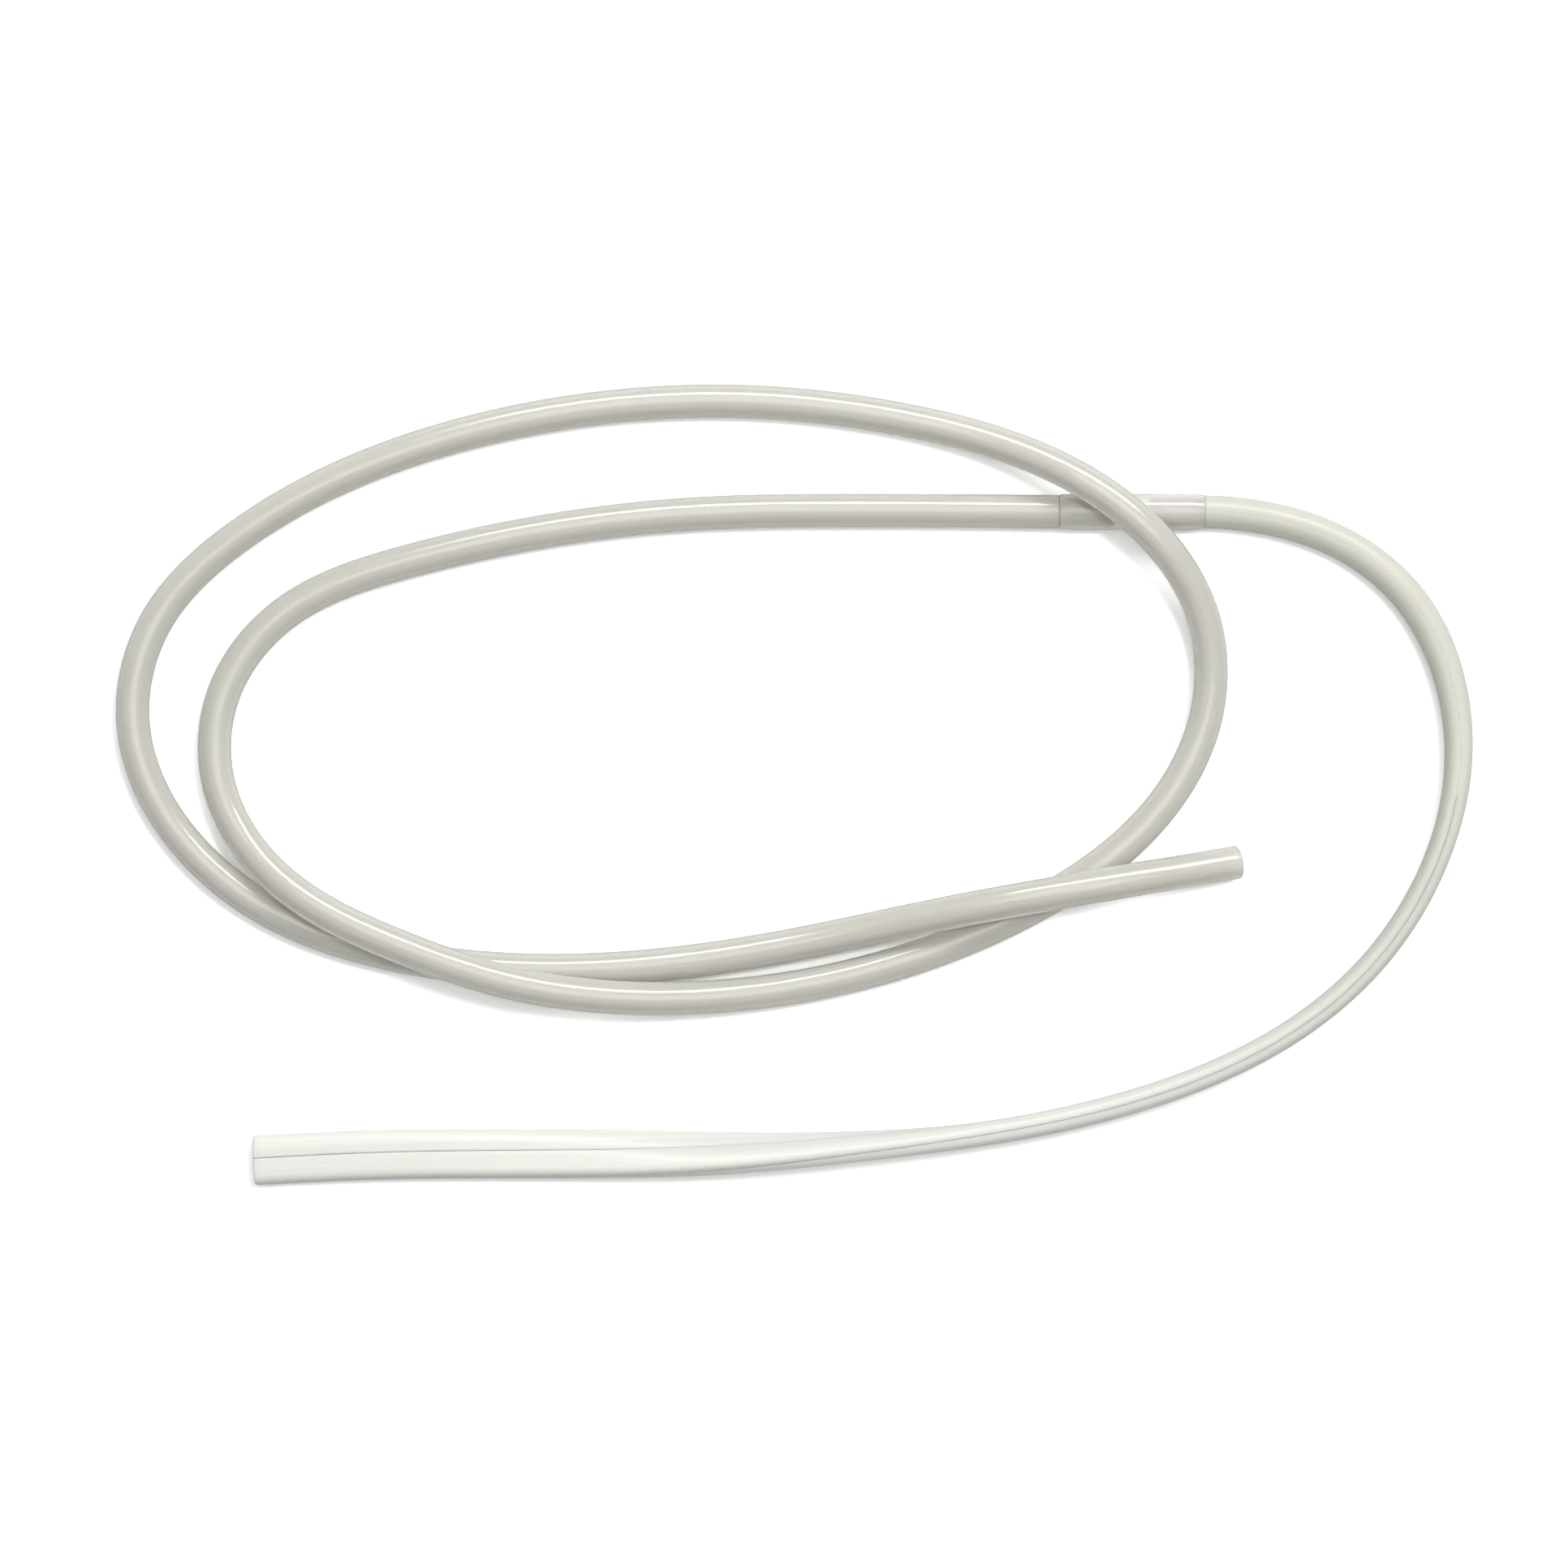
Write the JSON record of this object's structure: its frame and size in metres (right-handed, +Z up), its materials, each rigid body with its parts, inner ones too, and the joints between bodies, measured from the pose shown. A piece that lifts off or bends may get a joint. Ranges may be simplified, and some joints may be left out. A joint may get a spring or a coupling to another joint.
{
  "type": "surgical drain",
  "caption": "Flexible silicone wound drain lying in a loose loop: clear round extension tube, short joining collar and white fluted drain section with slit channels.",
  "frame": {"origin": "centre of the drain's outline as it lies, on the surface that it rests on", "axes": "+Z up from the surface, +X along the longer side of the loop from the tube's far bends towards the drain's bend, +Y from the drain section's free run towards the collar"},
  "size_m": [0.2004, 0.1184, 0.0106],
  "materials": {
    "clear_silicone": "translucent clear silicone, smooth with a soft gloss",
    "collar_silicone": "translucent clear silicone, smooth with a soft gloss",
    "white_silicone": "white silicone, smooth and faintly satin"
  },
  "bodies": {
    "root": {"extension_tube": "clear_silicone", "transition_collar": "collar_silicone", "fluted_drain": "white_silicone"}
  },
  "joints": []
}
